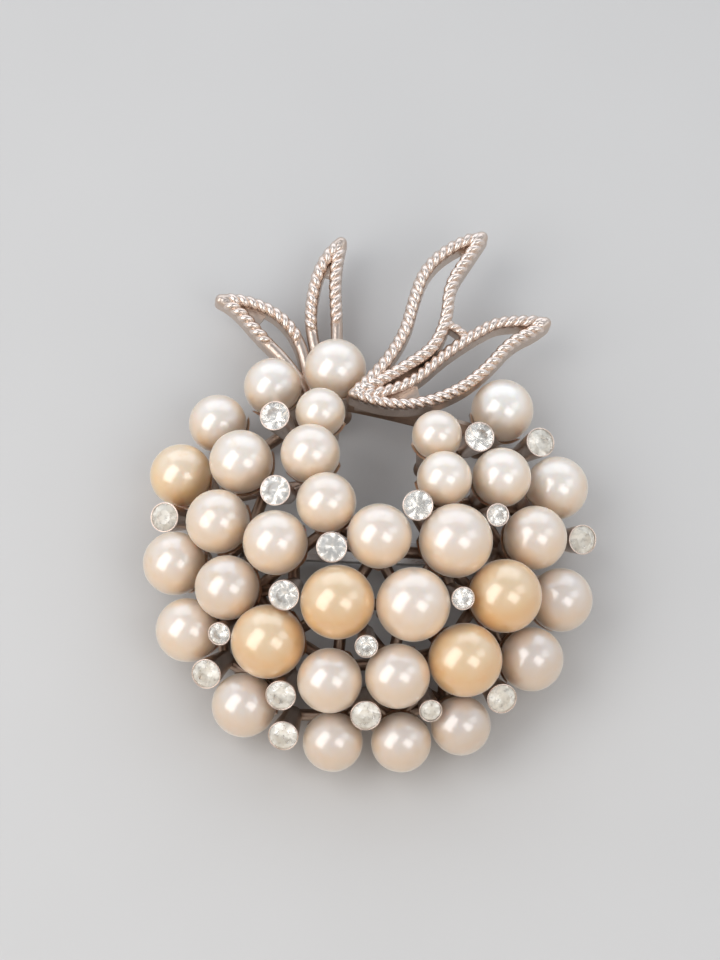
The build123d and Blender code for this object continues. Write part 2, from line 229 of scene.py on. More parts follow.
@dataclass(frozen=True)
class Nacre:
    """Pearl essence under lacquer: painted reflection and shade make it pale on top, tan below."""

    name: str
    body: Colour
    # Painted shade low on each ball; age also yellows the whole ball towards it
    shade: Colour
    bloom: Colour
    stain: Colour
    mottle: float = 0.0
    pearly: float = 0.16
    roughness: float = 0.27
    lacquer: float = 0.16
    # Painted light: tone below 0 paints a pearl paler, most of all on top, and tone above 0 paints
    # it darker and greyer
    painted_light: Colour = (0.97, 0.94, 0.905)
    painted_light_share: float = 0.5
    painted_light_reach: float = 1.15
    painted_shade_grey: Colour = (0.22, 0.22, 0.27)
    painted_shade_share: float = 0.22
    # Sizes of the patterns
    clouds: float = 2.6 * MM
    specks: float = 0.9 * MM
    waves: float = 3.2 * MM
    pits: float = 0.35 * MM
    # Heights on the unit ball from the painted tan shade to the painted pale reflection, and how
    # far the clouds shift them
    milky: Span = (0.45, 0.98)
    drift: float = 0.12
    blooming: Span = (0.45, 0.75)
    bloom_share: float = 0.25
    age_share: float = 0.45
    spotted: Span = (0.50, 0.70)
    spot_clouds: float = 0.75
    stain_share: float = 0.32
    pit_share: float = 0.2
    relief: float = 0.05 * MM

    def material(self) -> bpy.types.Material:
        """Build the finish.

        Returns:
            The material, which reads a ball's own place, age, painted-light tone and staining from
            attributes.
        """
        graph = Graph(bpy.data.materials.new(self.name))
        height = graph.part(graph.attribute("ball", "Vector"), "Z")
        age = graph.attribute("age")
        tone = graph.attribute("tone")
        stained = graph.attribute("stained")
        cloud = graph.noise(self.clouds, detail=3.0)
        fine = graph.noise(self.specks, detail=4.0, roughness=0.6)
        # Painted reflection and shade: pale on top of each ball, tan low down towards the cup
        low = 1 - graph.ramp(height + cloud.swing(self.drift), *self.milky)
        colour = graph.mix(self.body, self.shade, low)
        colour = graph.mix(colour, self.bloom,
                           graph.ramp(cloud, *self.blooming) * self.bloom_share)
        colour = graph.mix(colour, self.shade, age * self.age_share)
        # Painted light and shade from each pearl's tone: paler and whiter on top, or darker and
        # greyer
        colour = graph.mix(colour, self.painted_light, (low - self.painted_light_reach) * tone * self.painted_light_share)
        colour = graph.mix(colour, self.painted_shade_grey, tone * self.painted_shade_share)
        spots = graph.ramp(fine.blended(cloud, self.spot_clouds), *self.spotted)
        colour = graph.mix(colour, self.stain, spots * (stained * self.stain_share + self.mottle))
        pits = graph.noise(self.pits, detail=2.0)
        waves = graph.noise(self.waves, detail=1.0)
        normal = graph.bump(waves.blended(pits, self.pit_share), self.relief, strength=0.6)
        return graph.finish(graph.surface({
            "Base Color": colour, "Metallic": self.pearly, "Roughness": self.roughness,
            "IOR": 1.6, "Subsurface Weight": 0.85, "Subsurface Radius": (1.0, 0.8, 0.6),
            "Subsurface Scale": 2.0 * MM, "Coat Weight": 1.0, "Coat Roughness": self.lacquer,
            "Coat IOR": 1.9, "Sheen Weight": 0.8, "Sheen Roughness": 0.35,
            "Sheen Tint": (1.0, 0.92, 0.80, 1), "Normal": normal}))


@dataclass(frozen=True)
class SilveredCasting:
    """Rhodium-bright casting, painted brown as shade far down in the wreath and with tarnished
    patches.
    """

    name: str
    bright: Colour = (0.69, 0.565, 0.48)
    tarnish_and_painted_shade: Colour = (0.28, 0.19, 0.135)
    roughness: float = 0.30
    # Distances from the dome's middle that are all painted shade and all bright
    deep: float = 23.6 * MM
    proud: float = 27.8 * MM
    drift: float = 2.0 * MM
    patches: float = 1.4 * MM
    grain: float = 0.16 * MM
    beads: float = 0.5 * MM
    patchy: Span = (0.58, 0.8)
    patch_share: float = 0.35
    roughening: float = 0.12
    bead_share: float = 0.75
    relief: float = 0.07 * MM

    def material(self) -> bpy.types.Material:
        """Build the finish.

        Returns:
            The material, whose painted shade follows the depth below the dome.
        """
        graph = Graph(bpy.data.materials.new(self.name))
        away = graph.node("ShaderNodeVectorMath", {"operation": "DISTANCE"},
                          {0: graph.place(), 1: DOME_CENTRE}, "Value")
        patches = graph.noise(self.patches, detail=4.0, roughness=0.6)
        grain = graph.noise(self.grain, detail=2.0)
        beads = graph.noise(self.beads, detail=1.0)
        # Painted shade: the casting turns brown the farther down in the wreath it lies
        clean = graph.ramp(away + patches.swing(self.drift), self.deep, self.proud)
        colour = graph.mix(self.tarnish_and_painted_shade, self.bright, clean)
        colour = graph.mix(colour, self.tarnish_and_painted_shade,
                           graph.ramp(patches, *self.patchy) * self.patch_share)
        rough = (self.roughness + (1 - clean) * self.roughening
                 + patches.swing(self.roughening))
        normal = graph.bump(grain.blended(beads, self.bead_share), self.relief, strength=0.8)
        return graph.finish(graph.surface({
            "Base Color": colour, "Metallic": 1.0, "Roughness": rough, "Normal": normal}))


@dataclass(frozen=True)
class BrightSilvering:
    """Polished silvering of ropes and lips, a little pink and rubbed."""

    name: str
    bright: Colour = (0.86, 0.73, 0.645)
    worn: Colour = (0.68, 0.55, 0.46)
    roughness: float = 0.25
    patches: float = 0.9 * MM
    grain: float = 0.22 * MM
    rubbed: Span = (0.5, 0.8)
    rubbed_share: float = 0.6
    roughening: float = 0.15
    relief: float = 0.012 * MM

    def material(self) -> bpy.types.Material:
        """Build the finish.

        Returns:
            The material, which is worn in patches.
        """
        graph = Graph(bpy.data.materials.new(self.name))
        patches = graph.noise(self.patches, detail=3.0, roughness=0.6)
        grain = graph.noise(self.grain, detail=1.0)
        worn = graph.ramp(patches, *self.rubbed) * self.rubbed_share
        return graph.finish(graph.surface({
            "Base Color": graph.mix(self.bright, self.worn, worn), "Metallic": 1.0,
            "Roughness": self.roughness + patches.swing(self.roughening),
            "Normal": graph.bump(grain, self.relief, strength=0.5)}))


@dataclass(frozen=True)
class SatinSteel:
    """Drawn and rolled pin metal with fine marks along it."""

    name: str
    clean: Colour = (0.56, 0.54, 0.52)
    browned: Colour = (0.40, 0.34, 0.29)
    roughness: float = 0.3
    stretch: tuple[float, float, float] = (0.06, 1.0, 1.0)
    marks: float = 0.09 * MM
    patches: float = 2.2 * MM
    patchy: Span = (0.5, 0.8)
    patch_share: float = 0.5
    roughening: float = 0.2
    relief: float = 0.01 * MM

    def material(self) -> bpy.types.Material:
        """Build the finish.

        Returns:
            The material, whose marks run along the bar.
        """
        graph = Graph(bpy.data.materials.new(self.name))
        stretched = graph.node("ShaderNodeMapping", {},
                               {"Vector": graph.place(), "Scale": self.stretch})
        marks = graph.node("ShaderNodeTexNoise", {},
                           {"Vector": stretched, "Scale": 1 / self.marks, "Detail": 3.0})
        brown = graph.ramp(graph.noise(self.patches), *self.patchy) * self.patch_share
        return graph.finish(graph.surface({
            "Base Color": graph.mix(self.clean, self.browned, brown), "Metallic": 1.0,
            "Roughness": self.roughness + marks.swing(self.roughening),
            "Normal": graph.bump(marks, self.relief, strength=0.6)}))


@dataclass(frozen=True)
class CutGlass:
    """Clear paste; outer stones have turned milky."""

    name: str
    clear: Colour = (1.0, 0.985, 0.97)
    milk: Colour = (1.0, 0.93, 0.79)
    haze: float = 0.5 * MM
    hazy: Span = (0.0, 0.6)

    def material(self) -> bpy.types.Material:
        """Build the finish.

        Returns:
            The material, whose milkiness is a share kept on each stone.
        """
        graph = Graph(bpy.data.materials.new(self.name))
        clear = graph.surface({
            "Base Color": (*self.clear, 1), "Roughness": 0.0, "IOR": 1.58,
            "Transmission Weight": 1.0})
        cloudy = graph.surface({
            "Base Color": (*self.milk, 1), "Roughness": 0.18, "IOR": 1.5, "Coat Weight": 1.0})
        haze = graph.noise(self.haze, detail=2.0)
        share = graph.attribute("milk") * graph.ramp(haze, *self.hazy)
        return graph.finish(graph.node("ShaderNodeMixShader", {}, {0: share, 1: clear, 2: cloudy}))


@dataclass(frozen=True)
class MirrorFoil:
    """Silvered back of a rhinestone."""

    name: str
    silver: Colour = (1.0, 0.985, 0.96)
    dulled: Colour = (0.80, 0.76, 0.72)
    patches: float = 1.5 * MM
    patchy: Span = (0.5, 0.85)
    roughness: float = 0.20

    def material(self) -> bpy.types.Material:
        """Build the finish.

        Returns:
            The material, which is dulled in patches.
        """
        graph = Graph(bpy.data.materials.new(self.name))
        dull = graph.ramp(graph.noise(self.patches), *self.patchy)
        return graph.finish(graph.surface({
            "Base Color": graph.mix(self.silver, self.dulled, dull), "Metallic": 1.0,
            "Roughness": self.roughness}))


@dataclass(frozen=True)
class Plaster:
    """Plain pale ground."""

    name: str
    light: Colour = (0.62, 0.605, 0.59)
    dark: Colour = (0.585, 0.57, 0.555)
    clouds: float = 30 * MM
    roughness: float = 0.7

    def material(self) -> bpy.types.Material:
        """Build the finish.

        Returns:
            The material, a little darker in wide clouds.
        """
        graph = Graph(bpy.data.materials.new(self.name))
        tone = graph.mix(self.light, self.dark, graph.noise(self.clouds))
        return graph.finish(graph.surface({"Base Color": tone, "Roughness": self.roughness}))


def facing(way: Vector) -> Matrix:
    """Turn that points a piece's Z along a direction."""
    return way.to_track_quat("Z", "Y").to_matrix().to_4x4()


def settle_piece(name: str, mesh: bpy.types.Mesh, material: bpy.types.Material | None,
                 slot: Slot, *replaced: str) -> bpy.types.Object:
    """Link a finished mesh as a piece that rides on the brooch.

    Args:
        name: The piece's name.
        mesh: Its mesh, in place.
        material: Its finish, or None where the mesh has its own.
        slot: The record's material slot; not used.
        replaced: CAD nodes that it stands for.

    Returns:
        The object.
    """
    piece = bpy.data.objects.new(name, mesh)
    bpy.context.scene.collection.objects.link(piece)
    if material is not None:
        mesh.materials.append(material)
    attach(piece, BODY)
    if replaced:
        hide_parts(*replaced)
    return piece


def to_mesh(name: str, shape: bmesh.types.BMesh, smooth: bool) -> bpy.types.Mesh:
    """Turn a bmesh into a mesh and free it.

    Args:
        name: The mesh's name.
        shape: The bmesh.
        smooth: Whether its faces are shaded smooth.

    Returns:
        The mesh.
    """
    for face in shape.faces:
        face.smooth = smooth
    mesh = bpy.data.meshes.new(name)
    shape.to_mesh(mesh)
    shape.free()
    return mesh


@dataclass
class PearlSet:
    """The 34 imitation pearls, one piece for each pearl node."""

    around: int = 64
    rings: int = 40
    golden: tuple[int, ...] = (14, 17, 24, 26)
    mottled: tuple[int, ...] = (7,)
    stained: tuple[int, ...] = (6, 9, 12, 13)
    # Painted light across the wreath: pearls at its upper end are painted paler, below 0, and
    # pearls at its lower end darker, above 0
    light_falloff_tones: dict[int, float] = field(default_factory=lambda: {
        1: -0.8, 2: -0.7, 3: -0.5, 4: -0.5, 5: -0.3, 6: -0.5, 13: 0.4, 18: 0.5, 19: 0.3,
        20: 0.3, 21: 0.6, 22: 0.7, 23: 1.0, 25: 0.8, 27: 0.6, 30: -0.6, 31: -0.6, 32: -0.5,
        33: -0.3, 34: -1.0})
    ages: Span = (0.0, 0.35)
    seed: int = 34
    finishes: dict[Slot, bpy.types.Material] = field(init=False)

    def __post_init__(self) -> None:
        """Make the three kinds of nacre."""
        nacres = {
            Slot.CREAM: Nacre(
                "nacre_cream", body=(0.81, 0.72, 0.645), shade=(0.80, 0.62, 0.45),
                bloom=(0.84, 0.755, 0.71), stain=(0.74, 0.48, 0.18)),
            Slot.GOLDEN: Nacre(
                "nacre_golden", body=(0.80, 0.62, 0.41), shade=(0.77, 0.48, 0.22),
                bloom=(0.84, 0.69, 0.52), stain=(0.70, 0.34, 0.09), mottle=0.12),
            Slot.MOTTLED: Nacre(
                "nacre_mottled", body=(0.86, 0.73, 0.58), shade=(0.88, 0.60, 0.31),
                bloom=(0.88, 0.78, 0.67), stain=(0.80, 0.50, 0.18), mottle=0.35),
        }
        self.finishes = {slot: nacre.material() for slot, nacre in nacres.items()}

    def slot_of(self, number: int) -> Slot:
        """Tell which nacre a pearl has.

        Args:
            number: The pearl's number.

        Returns:
            Its slot.
        """
        if number in self.golden:
            return Slot.GOLDEN
        return Slot.MOTTLED if number in self.mottled else Slot.CREAM

    def ball(self, name: str, centre: Vector, radius: float,
             kept: dict[str, float]) -> bpy.types.Mesh:
        """Make one ball that keeps its own unit place and its age, tone and staining.

        Args:
            name: The mesh's name.
            centre: The ball's centre.
            radius: Its radius.
            kept: Its value of each attribute.

        Returns:
            The mesh.
        """
        shape = bmesh.new()
        place = shape.verts.layers.float_vector.new("ball")
        layers = {key: shape.verts.layers.float.new(key) for key in kept}
        bmesh.ops.create_uvsphere(shape, u_segments=self.around, v_segments=self.rings, radius=1.0)
        for vertex in shape.verts:
            vertex[place] = vertex.co
            for key, layer in layers.items():
                vertex[layer] = kept[key]
        bmesh.ops.scale(shape, vec=(radius, radius, radius), verts=shape.verts)
        bmesh.ops.translate(shape, vec=centre, verts=shape.verts)
        return to_mesh(name, shape, smooth=True)

    def build(self) -> list[bpy.types.Object]:
        """Make every pearl where its node is.

        Returns:
            The pearls.
        """
        chance = random.Random(self.seed)
        made = []
        for node in sorted(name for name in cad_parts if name.startswith("pearl_")):
            number = int(node.split("_")[1])
            low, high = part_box(node)
            slot = self.slot_of(number)
            kept = {"age": chance.uniform(*self.ages), "stained": float(number in self.stained),
                    "tone": self.light_falloff_tones.get(number, 0.0)}
            mesh = self.ball(f"{node}_nacre", (low + high) / 2, (high.x - low.x) / 2, kept)
            made.append(settle_piece(f"{node}_nacre", mesh, self.finishes[slot], slot, node))
        return made


@dataclass
class Seat:
    """Where a stone sits in its tube: the middle of its girdle, its axis and its width."""

    centre: Vector
    axis: Vector
    width: float


def loose_solids(shape: bmesh.types.BMesh) -> list[set[bmesh.types.BMVert]]:
    """Part a bmesh into its separate solids.

    Args:
        shape: The bmesh.

    Returns:
        The corners of each solid.
    """
    solids = []
    waiting = set(shape.verts)
    while waiting:
        corners, edge = set(), [waiting.pop()]
        while edge:
            vertex = edge.pop()
            corners.add(vertex)
            edge += [link.other_vert(vertex) for link in vertex.link_edges
                     if link.other_vert(vertex) not in corners]
        waiting -= corners
        solids.append(corners)
    return solids


def seat_of(corners: set[bmesh.types.BMVert], rim_share: float = 0.99) -> Seat:
    """Find a stone's seat from its corners.

    Args:
        corners: The stone's corners.
        rim_share: Share of the radius past which a corner lies on the girdle.

    Returns:
        The seat, whose centre lies level with the girdle's upper edge.
    """
    table = max({face for vertex in corners for face in vertex.link_faces},
                key=lambda face: face.calc_area())
    axis = table.normal.copy()
    top = table.calc_center_median()
    heights = [(vertex.co - top).dot(axis) for vertex in corners]
    reach = [((vertex.co - top) - axis * height).length
             for vertex, height in zip(corners, heights)]
    girdle = max(height for height, far in zip(heights, reach) if far > max(reach) * rim_share)
    return Seat(top + axis * girdle, axis, 2 * max(reach))


def stone_seats(node: str) -> list[Seat]:
    """Read the places of the loose stones from their node.

    Args:
        node: The node that holds them all.

    Returns:
        One seat for each stone, from left to right.
    """
    shape = bmesh.new()
    shape.from_mesh(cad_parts[node].data)
    bmesh.ops.remove_doubles(shape, verts=shape.verts, dist=WELD)
    bmesh.ops.dissolve_limit(shape, angle_limit=FLAT, verts=shape.verts, edges=shape.edges)
    seats = [seat_of(corners) for corners in loose_solids(shape)]
    shape.free()
    return sorted(seats, key=lambda seat: (round(seat.centre.x, 4), seat.centre.y))


@dataclass
class StoneSet:
    """The 19 foiled rhinestones, fused into one piece, with their sizes as shares of a width."""

    snug: float = 1.10
    table: float = 0.54
    crown: float = 0.15
    girdle: float = 0.05
    pavilion: float = 0.42
    culet: float = 0.03
    # Where the facets break: share of the crown's or pavilion's height, then width
    crown_break: Span = (0.55, 0.80)
    pavilion_break: Span = (0.52, 0.52)
    facets: int = 8
    # Milkiness of the outer row, which begins this far out, and of the others
    outer_from: float = 0.9 * OUTER_ROW
    outer_milk: Span = (0.35, 0.55)
    inner_milk: Span = (0.06, 0.16)
    seed: int = 19

    def rings(self) -> list[tuple[float, float, float, int]]:
        """List the rings of corners from the table down to the culet.

        Returns:
            The height, width, turn as a share of a facet, and count of corners of each ring.
        """
        crown_at, crown_width = self.crown_break
        pavilion_at, pavilion_width = self.pavilion_break
        return [
            (self.crown, self.table, 0.0, self.facets),
            (self.crown * crown_at, crown_width, 0.5, self.facets),
            (0.0, 1.0, 0.0, 2 * self.facets),
            (-self.girdle, 1.0, 0.0, 2 * self.facets),
            (-self.girdle - self.pavilion * pavilion_at, pavilion_width, 0.5, self.facets),
            (-self.girdle - self.pavilion, self.culet, 0.0, 3),
        ]

    def brilliant(self) -> bmesh.types.BMesh:
        """Make one brilliant of width 1 with its girdle's upper edge at the origin.

        Returns:
            The bmesh, with glass faces of material 0 and foiled back faces of material 1.
        """
        shape = bmesh.new()
        for height, width, turn, count in self.rings():
            ring = bmesh.ops.create_circle(shape, segments=count, radius=width / 2)
            spin = Matrix.Rotation(math.tau * turn / self.facets, 4, "Z")
            bmesh.ops.transform(shape, matrix=Matrix.Translation((0, 0, height)) @ spin,
                                verts=ring["verts"])
        bmesh.ops.delete(shape, geom=shape.edges[:], context="EDGES_FACES")
        bmesh.ops.convex_hull(shape, input=shape.verts[:])
        bmesh.ops.dissolve_limit(shape, angle_limit=FLAT, verts=shape.verts, edges=shape.edges)
        bmesh.ops.recalc_face_normals(shape, faces=shape.faces)
        for face in shape.faces:
            face.material_index = 1 if face.calc_center_median().z < -self.girdle else 0
        return shape

    def set_stone(self, seat: Seat, chance: random.Random, whole: bmesh.types.BMesh) -> None:
        """Add one stone to the set.

        Args:
            seat: Where it sits.
            chance: Source of its turn and its milkiness.
            whole: The set, with a layer for the milkiness.
        """
        stone = self.brilliant()
        spin = Matrix.Rotation(chance.uniform(0, math.tau), 4, "Z")
        place = (Matrix.Translation(seat.centre) @ facing(seat.axis) @ spin
                 @ Matrix.Scale(seat.width * self.snug, 4))
        bmesh.ops.transform(stone, matrix=place, verts=stone.verts)
        outward = (seat.centre - DOME_CENTRE).to_2d().length
        cloudy = chance.uniform(*(self.outer_milk if outward > self.outer_from
                                  else self.inner_milk))
        milk = whole.verts.layers.float["milk"]
        copies = {vertex: whole.verts.new(vertex.co) for vertex in stone.verts}
        for copy in copies.values():
            copy[milk] = cloudy
        for face in stone.faces:
            made = whole.faces.new([copies[vertex] for vertex in face.verts])
            made.material_index = face.material_index
        stone.free()

    def build(self) -> bpy.types.Object:
        """Make the stones.

        Returns:
            The piece.
        """
        chance = random.Random(self.seed)
        whole = bmesh.new()
        whole.verts.layers.float.new("milk")
        for seat in stone_seats("rhinestones"):
            self.set_stone(seat, chance, whole)
        mesh = to_mesh("rhinestone_brilliants", whole, smooth=False)
        mesh.materials.append(CutGlass("cut_glass").material())
        mesh.materials.append(MirrorFoil("mirror_foil").material())
        return settle_piece("rhinestone_brilliants", mesh, None, Slot.STONE, "rhinestones")


def signed_angle(one: Vector, other: Vector) -> float:
    """Angle from one flat vector to another, counter-clockwise."""
    return math.atan2(one.x * other.y - one.y * other.x, one.dot(other))


def turned(vector: Vector, angle: float) -> Vector:
    """Flat vector turned counter-clockwise."""
    cosine, sine = math.cos(angle), math.sin(angle)
    return Vector((vector.x * cosine - vector.y * sine, vector.x * sine + vector.y * cosine))


def evenly(points: list[Vector], step: float) -> list[Vector]:
    """Points at even spaces along a chain of points.

    Args:
        points: The chain.
        step: About the space between points, made to fit the chain's length.

    Returns:
        The even points, with both ends.
    """
    lengths = [0.0]
    for before, after in zip(points, points[1:]):
        lengths.append(lengths[-1] + (after - before).length)
    count = max(2, round(lengths[-1] / step))
    found, index = [], 0
    for number in range(count + 1):
        want = lengths[-1] * number / count
        while index < len(points) - 2 and lengths[index + 1] < want:
            index += 1
        span = lengths[index + 1] - lengths[index]
        share = (want - lengths[index]) / span if span else 0.0
        found.append(points[index].lerp(points[index + 1], share))
    return found


@dataclass(frozen=True)
class Rim:
    """One rim of a leaf: its points as shares of the leaf's length, and where its rope begins."""

    shares: tuple[Span, ...]
    rope_from: float = 0.0


@dataclass
class Leaf:
    """One open leaf: its plane, in degrees, and its two rims."""

    root: Vector
    heading: float
    rise: float
    length: float
    left: Rim
    right: Rim
    arc_step: float = 0.05 * MM
    straight: float = 1e-4

    def axes(self) -> tuple[Vector, Vector, Vector]:
        """Find the leaf's own directions.

        Returns:
            The directions along the leaf, across it to the left, and out of its face.
        """
        turn, lift = math.radians(self.heading), math.radians(self.rise)
        along = Vector((math.cos(lift) * math.sin(turn), math.cos(lift) * math.cos(turn),
                        math.sin(lift)))
        out = (Vector((0, 0, 1)) - along * along.z).normalized()
        return along, out.cross(along), out

    def to_space(self, point: Vector) -> Vector:
        """Place in space of a point of the leaf's plane."""
        along, across, _ = self.axes()
        return self.root + along * point.x + across * point.y

    def path(self, rim: Rim, step: float) -> list[Vector]:
        """Even points along a rim: an arc through its first three points, then tangent arcs.

        Args:
            rim: The rim.
            step: Space between points.

        Returns:
            The points in space.
        """
        corners = [Vector((x, y)) * self.length for x, y in rim.shares]
        first, second = corners[1] - corners[0], corners[2] - corners[1]
        tangent = turned(corners[2] - corners[0], -signed_angle(first, second)).normalized()
        dense = [corners[0]]
        for start, end in zip([corners[0]] + corners[2:-1], corners[2:]):
            chord = end - start
            bend = signed_angle(tangent, chord)
            count = max(4, round(chord.length / self.arc_step))
            for index in range(1, count + 1):
                part = bend * index / count
                reach = (math.sin(part) / math.sin(bend) if abs(bend) > self.straight
                         else index / count)
                dense.append(start + turned(tangent, part) * chord.length * reach)
            tangent = turned(tangent, 2 * bend)
        return [self.to_space(point) for point in evenly(dense, step)]


@dataclass(frozen=True)
class RopeLay:
    """How two strands are laid: their radius, how far out and up they lie, and a lobe's length."""

    strand: float
    offset: float
    lift: float
    lobe: float


@dataclass
class LeafRopes:
    """Twisted ropes on the rims of the four leaves and on the bridge, with a bead at each tip."""

    spray_root: Vector = field(default_factory=lambda: Vector((-1.791, 10.390, 9.727)) * MM)
    rib_root: Vector = field(default_factory=lambda: Vector((-6.061, 9.980, 2.442)) * MM)
    longest: float = 25.5 * MM
    rim: RopeLay = RopeLay(0.42 * MM, 0.34 * MM, 0.25 * MM, 1.08 * MM)
    bridge: RopeLay = RopeLay(0.30 * MM, 0.25 * MM, 0.18 * MM, 0.80 * MM)
    points_a_turn: int = 10
    sink: float = 0.5
    # Where the bridge meets the two rims, how far it bows, and the steps that it is drawn in
    bridge_ends: Span = (0.53, 0.61)
    bridge_bow: float = 0.12
    bridge_steps: int = 20
    # Space that the ropes leave at a tip; the bead's half sizes, setback and lift there
    tip_space: float = 0.45 * MM
    tip_bead: tuple[float, float, float] = (1.0 * MM, 0.60 * MM, 0.58 * MM)
    bead_back: float = 0.8
    bead_lift: float = 0.5
    bead_aim: int = 12
    leaves: list[Leaf] = field(init=False)

    def __post_init__(self) -> None:
        """Lay out the four leaves."""
        spray, rib = self.spray_root, self.rib_root
        self.leaves = [
            Leaf(spray, 35.5, -5.6, 0.985 * self.longest,
                 Rim(((0, 0), (0.18, -0.02), (0.32, -0.012), (0.475, 0.03), (0.62, 0.084),
                      (0.79, 0.096), (1, 0))),
                 Rim(((0, 0), (0.20, -0.088), (0.34, -0.134), (0.46, -0.139), (0.63, -0.071),
                      (0.79, -0.018), (1, 0)))),
            Leaf(spray, 64.8, -8.2, 0.945 * self.longest,
                 Rim(((0, 0), (0.20, -0.048), (0.37, -0.016), (0.56, 0.044), (0.73, 0.076),
                      (0.82, 0.070), (1, 0))),
                 Rim(((0, 0), (0.15, -0.12), (0.33, -0.168), (0.57, -0.136), (0.73, -0.068),
                      (0.88, -0.026), (1, 0)))),
            Leaf(rib, -38.0, 8.9, 0.70 * self.longest,
                 Rim(((0, 0), (0.30, -0.080), (0.54, -0.074), (0.80, -0.050), (1, 0)), 0.58),
                 Rim(((0, 0), (0.20, -0.108), (0.40, -0.202), (0.60, -0.242), (0.75, -0.210),
                      (1, 0)), 0.43)),
            Leaf(rib, 7.4, 7.4, 0.84 * self.longest,
                 Rim(((0, 0), (0.20, 0.014), (0.44, 0.074), (0.63, 0.110), (0.77, 0.104),
                      (1, 0)), 0.46),
                 Rim(((0, 0), (0.25, -0.05), (0.48, -0.045), (0.68, -0.013), (0.82, 0.005),
                      (1, 0)), 0.54)),
        ]

    def twist(self, path: list[Vector], out: Vector, lay: RopeLay, hand: int,
              rope_from: float = 0.0, trim: float = 0.0) -> list[list[Vector]]:
        """Wind two strands round a path; both ends of the rope sink into the metal below.

        Args:
            path: Even points along the rope's middle.
            out: The direction that the rope is lifted in.
            lay: How the rope is laid.
            hand: 1 or -1, the way that it is laid.
            rope_from: Share of the path where the rope begins.
            trim: How far before the path's end the rope stops.

        Returns:
            The two strands' points.
        """
        step = (path[1] - path[0]).length
        first = math.ceil(rope_from * step * (len(path) - 1) / lay.lobe) * lay.lobe
        last = step * (len(path) - 1) - trim
        strands = [[], []]
        for index, point in enumerate(path):
            run = step * index
            if not first <= run <= last:
                continue
            before, after = path[max(index - 1, 0)], path[min(index + 1, len(path) - 1)]
            along = (after - before).normalized()
            side = out.cross(along).normalized()
            up = along.cross(side)
            sunk = max(0.0, 1 - min(run - first, last - run) / (self.sink * lay.lobe)) * lay.strand
            for number, strand in enumerate(strands):
                turn = hand * math.pi * run / lay.lobe + math.pi * number
                strand.append(point + up * (lay.lift - sunk)
                              + (side * math.cos(turn) + up * math.sin(turn)) * lay.offset)
        return strands

    def tubes(self, name: str, routes: list[list[Vector]], radius: float) -> bpy.types.Mesh:
        """Draw round tubes along routes as one curve and turn it into a mesh.

        Args:
            name: The mesh's name.
            routes: The points of each tube.
            radius: The tubes' radius.

        Returns:
            The mesh.
        """
        curve = bpy.data.curves.new(name, "CURVE")
        curve.dimensions = "3D"
        curve.bevel_depth = radius
        curve.bevel_resolution = 3
        curve.resolution_u = 2
        curve.use_fill_caps = True
        for route in routes:
            spline = curve.splines.new("NURBS")
            spline.points.add(len(route) - 1)
            for point, place in zip(spline.points, route):
                point.co = (*place, 1)
            spline.order_u = 4
            spline.use_endpoint_u = True
        holder = bpy.data.objects.new(name, curve)
        bpy.context.scene.collection.objects.link(holder)
        mesh = bpy.data.meshes.new_from_object(holder)
        bpy.data.objects.remove(holder)
        bpy.data.curves.remove(curve)
        return mesh

    def rim_path(self, leaf: Leaf, rim: Rim) -> list[Vector]:
        """Points along a rim, close enough for its rope."""
        return leaf.path(rim, 2 * self.rim.lobe / self.points_a_turn)

    def rim_ropes(self) -> bpy.types.Mesh:
        """Lay ropes on the eight rims, the other way round on the left ones.

        Returns:
            The ropes.
        """
        routes = []
        for leaf in self.leaves:
            out = leaf.axes()[2]
            for rim, hand in ((leaf.left, -1), (leaf.right, 1)):
                routes += self.twist(self.rim_path(leaf, rim), out, self.rim, hand,
                                     rim.rope_from, self.tip_space)
        return self.tubes("rim_ropes", routes, self.rim.strand)

    def bridge_rope(self) -> bpy.types.Mesh:
        """Lay a short rope on the bowed bridge between the two spray leaves.

        Returns:
            The rope.
        """
        one, other = self.leaves[:2]
        ends = []
        for leaf, rim, share in ((one, one.right, self.bridge_ends[0]),
                                 (other, other.left, self.bridge_ends[1])):
            path = self.rim_path(leaf, rim)
            ends.append(path[round(share * (len(path) - 1))])
        start, end = ends
        middle = (one.axes()[0] + other.axes()[0]).normalized()
        bow = middle * ((end - start).length * self.bridge_bow)
        shares = [number / self.bridge_steps for number in range(self.bridge_steps + 1)]
        chain = [start.lerp(end, share) + bow * (4 * share * (1 - share)) for share in shares]
        path = evenly(chain, 2 * self.bridge.lobe / self.points_a_turn)
        routes = self.twist(path, one.axes()[2], self.bridge, -1)
        return self.tubes("bridge_rope", routes, self.bridge.strand)

    def tip_beads(self, shape: bmesh.types.BMesh) -> None:
        """Add a long bead where the two ropes of each leaf meet.

        Args:
            shape: The bmesh that takes the beads.
        """
        for leaf in self.leaves:
            left, right = self.rim_path(leaf, leaf.left), self.rim_path(leaf, leaf.right)
            out = leaf.axes()[2]
            inner = (left[-self.bead_aim] + right[-self.bead_aim]) / 2
            along = (left[-1] - inner).normalized()
            side = out.cross(along).normalized()
            turn = Matrix((along, side, along.cross(side))).transposed().to_4x4()
            place = Matrix.Translation(left[-1] - along * self.tip_space * self.bead_back
                                       + out * self.rim.lift * self.bead_lift)
            bmesh.ops.create_uvsphere(shape, u_segments=24, v_segments=16, radius=1.0,
                                      matrix=place @ turn @ Matrix.Diagonal((*self.tip_bead, 1.0)))

    def build(self) -> bpy.types.Object:
        """Make all the ropes and beads as one piece.

        Returns:
            The piece.
        """
        shape = bmesh.new()
        for mesh in (self.rim_ropes(), self.bridge_rope()):
            shape.from_mesh(mesh)
            bpy.data.meshes.remove(mesh)
        self.tip_beads(shape)
        mesh = to_mesh("leaf_ropes", shape, smooth=True)
        material = BrightSilvering("rope_silvering").material()
        return settle_piece("leaf_ropes", mesh, material, Slot.METAL)


